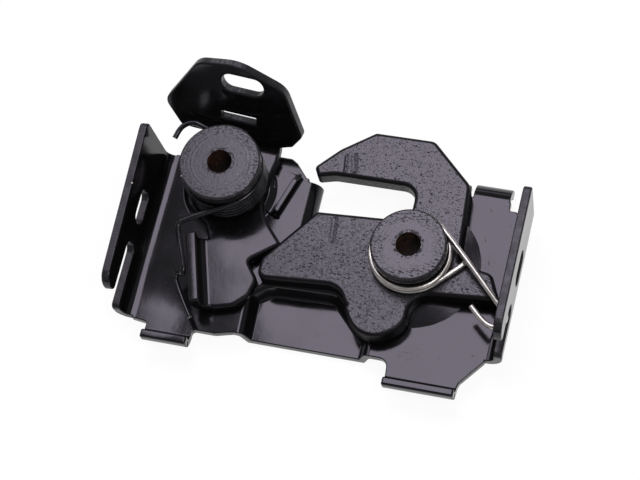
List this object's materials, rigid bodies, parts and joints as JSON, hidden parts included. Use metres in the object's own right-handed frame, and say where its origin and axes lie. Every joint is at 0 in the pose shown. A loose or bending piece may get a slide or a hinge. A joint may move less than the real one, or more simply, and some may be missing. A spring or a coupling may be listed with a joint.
{
  "type": "bonnet latch",
  "caption": "Pressed-steel bonnet latch: slotted back plate with folded flanges, a hooked claw that holds a striker, a sprung pawl with a release tongue, and bolt-through bushes.",
  "frame": {"origin": "centre of the claw bush's bolt bore, at the rear mounting plane that the rest pad and both bushes lie on", "axes": "+Z along the bush bores, away from the mounting plane; +Y the way the striker leaves; +X from the pawl towards the claw"},
  "size_m": [0.1141, 0.0789, 0.0365],
  "materials": {
    "black_coat": "gloss black dip coat",
    "claw_coat": "satin black coat, scuffed",
    "bush_coat": "satin black coat with turning marks",
    "bright_wire": "bright drawn wire",
    "black_wire": "black coated wire"
  },
  "bodies": {
    "base": {"back_plate": "black_coat", "claw_bush": "bush_coat", "pawl_bush": "bush_coat", "claw_spring": "bright_wire", "pawl_spring": "black_wire"},
    "claw": {"claw": "claw_coat"},
    "pawl": {"pawl": "black_coat"}
  },
  "joints": [
    {"name": "claw_pivot", "type": "hinge", "parent": "base", "child": "claw", "pos_m": [0, 0, 0.01075], "axis": [0, 0, 1], "range_deg": [0, 4], "stiffness_Nm_per_rad": 0.2, "springref_deg": -57.3, "deforming": ["claw_spring"]},
    {"name": "pawl_pivot", "type": "hinge", "parent": "base", "child": "pawl", "pos_m": [-0.0572, 0.0138, 0.00965], "axis": [0, 0, 1], "range_deg": [-15, 0], "stiffness_Nm_per_rad": 0.3, "springref_deg": 34.38, "deforming": ["pawl_spring"]}
  ]
}
